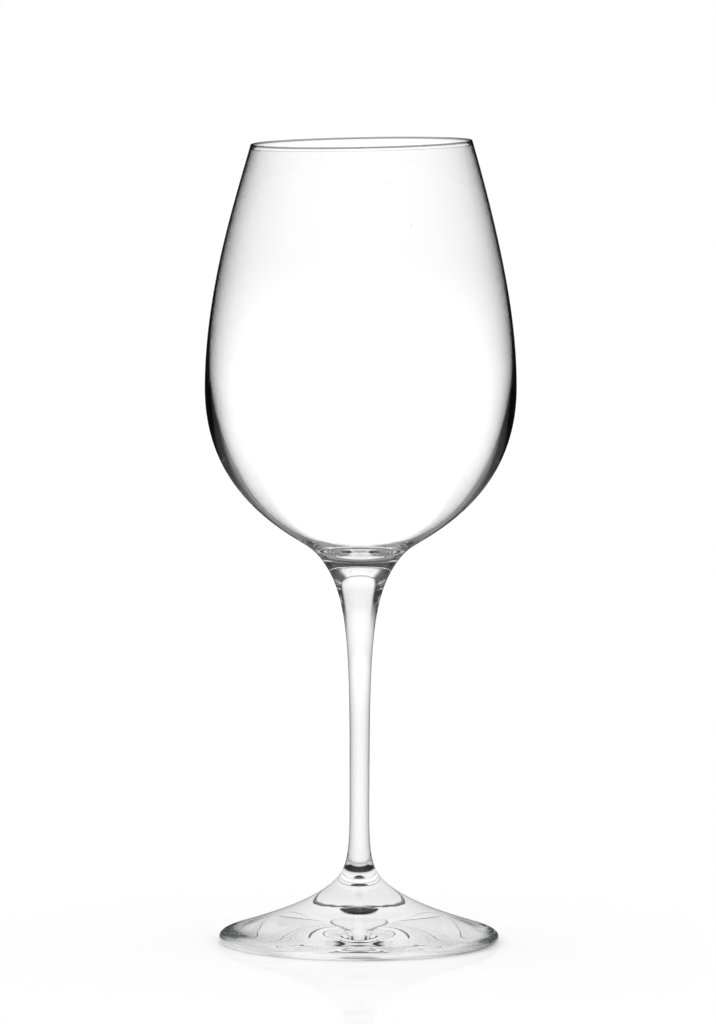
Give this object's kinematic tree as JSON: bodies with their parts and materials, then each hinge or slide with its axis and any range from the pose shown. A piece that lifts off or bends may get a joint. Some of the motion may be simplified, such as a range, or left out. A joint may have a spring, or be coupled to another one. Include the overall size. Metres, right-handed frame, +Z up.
{
  "type": "wine glass",
  "caption": "Clear stemmed wine glass: a tall bowl that narrows to a thin lip, a slender stem that flares at both ends, and a broad low cone foot.",
  "frame": {"origin": "middle of the table plane under the foot", "axes": "+Z up along the glass's axis from the foot to the lip; X and Y are level and interchangeable, because every piece is round"},
  "size_m": [0.0873, 0.0872, 0.225],
  "materials": {
    "bowl_glass": "clear, fire polished, thin blown wall",
    "stem_glass": "clear, fire polished, solid drawn rod",
    "foot_glass": "clear, fire polished, with faint spun rings near its middle"
  },
  "bodies": {
    "root": {"bowl": "bowl_glass", "stem": "stem_glass", "foot": "foot_glass"}
  },
  "joints": []
}
